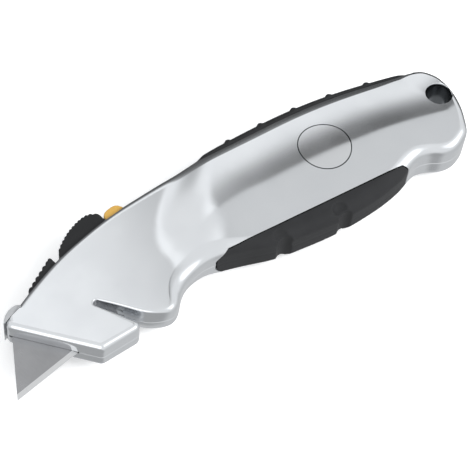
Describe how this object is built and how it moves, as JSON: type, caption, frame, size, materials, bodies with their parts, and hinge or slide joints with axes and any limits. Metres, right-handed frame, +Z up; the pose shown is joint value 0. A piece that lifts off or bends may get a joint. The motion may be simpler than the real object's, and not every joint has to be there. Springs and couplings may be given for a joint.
{
  "type": "utility knife",
  "caption": "Retractable utility knife: die-cast halves with rubber grips, sliding blade carrier, thumb knob, quick-release button, string cutter and lanyard hole.",
  "frame": {"origin": "under the middle of the knife's bounding box, on the plane that it rests on when it lies on its right side", "axes": "+X from the blade tip towards the tail, along the slider's travel; +Y from the belly towards the spine; +Z up through the thickness, towards the left side"},
  "size_m": [0.1888, 0.0664, 0.0181],
  "materials": {
    "cast_body": "satin silver paint on die-cast zinc",
    "badge": "satin silver, plain",
    "grip_rubber": "matt moulded rubber",
    "black_plastic": "fine moulded texture",
    "liner_steel": "brushed",
    "blade_steel": "ground and lightly oiled",
    "carrier_plastic": "matt moulded",
    "yellow_plastic": "semi-gloss moulded",
    "spring_steel": "bright drawn wire and strip",
    "latch_brass": "stamped",
    "screw_steel": "bright zinc plate"
  },
  "bodies": {
    "body": {"left_shell": "cast_body", "right_shell": "cast_body", "badge_disc": "badge", "belly_grip_left": "grip_rubber", "belly_grip_right": "grip_rubber", "spine_grip_left": "grip_rubber", "spine_grip_right": "grip_rubber", "front_pad": "black_plastic", "nose_liner": "liner_steel", "detent_rail": "liner_steel", "body_screws": "screw_steel", "spare_blades": "blade_steel", "storage_clip": "spring_steel"},
    "slider": {"blade": "blade_steel", "blade_carrier": "carrier_plastic", "thumb_knob": "black_plastic", "latch_pin": "liner_steel", "detent_spring": "spring_steel", "button_spring": "spring_steel"},
    "button": {"release_button": "yellow_plastic"},
    "latch": {"blade_latch": "latch_brass"}
  },
  "joints": [
    {"name": "blade_slide", "type": "slide", "parent": "body", "child": "slider", "axis": [1, 0, 0], "range_m": [0, 0.03]},
    {"name": "button_press", "type": "slide", "parent": "slider", "child": "button", "axis": [0, -1, 0], "range_m": [0, 0.0015], "stiffness_N_per_m": 400, "springref_m": -0.001, "deforming": ["button_spring"]},
    {"name": "latch_tilt", "type": "hinge", "parent": "slider", "child": "latch", "pos_m": [-0.045, 0.0192, 0.009], "axis": [0, 0, -1], "range_deg": [0, 5.6]}
  ],
  "couplings": [
    {"joint": "latch_tilt", "follows": "button_press", "rad_per_m": 62.5}
  ]
}
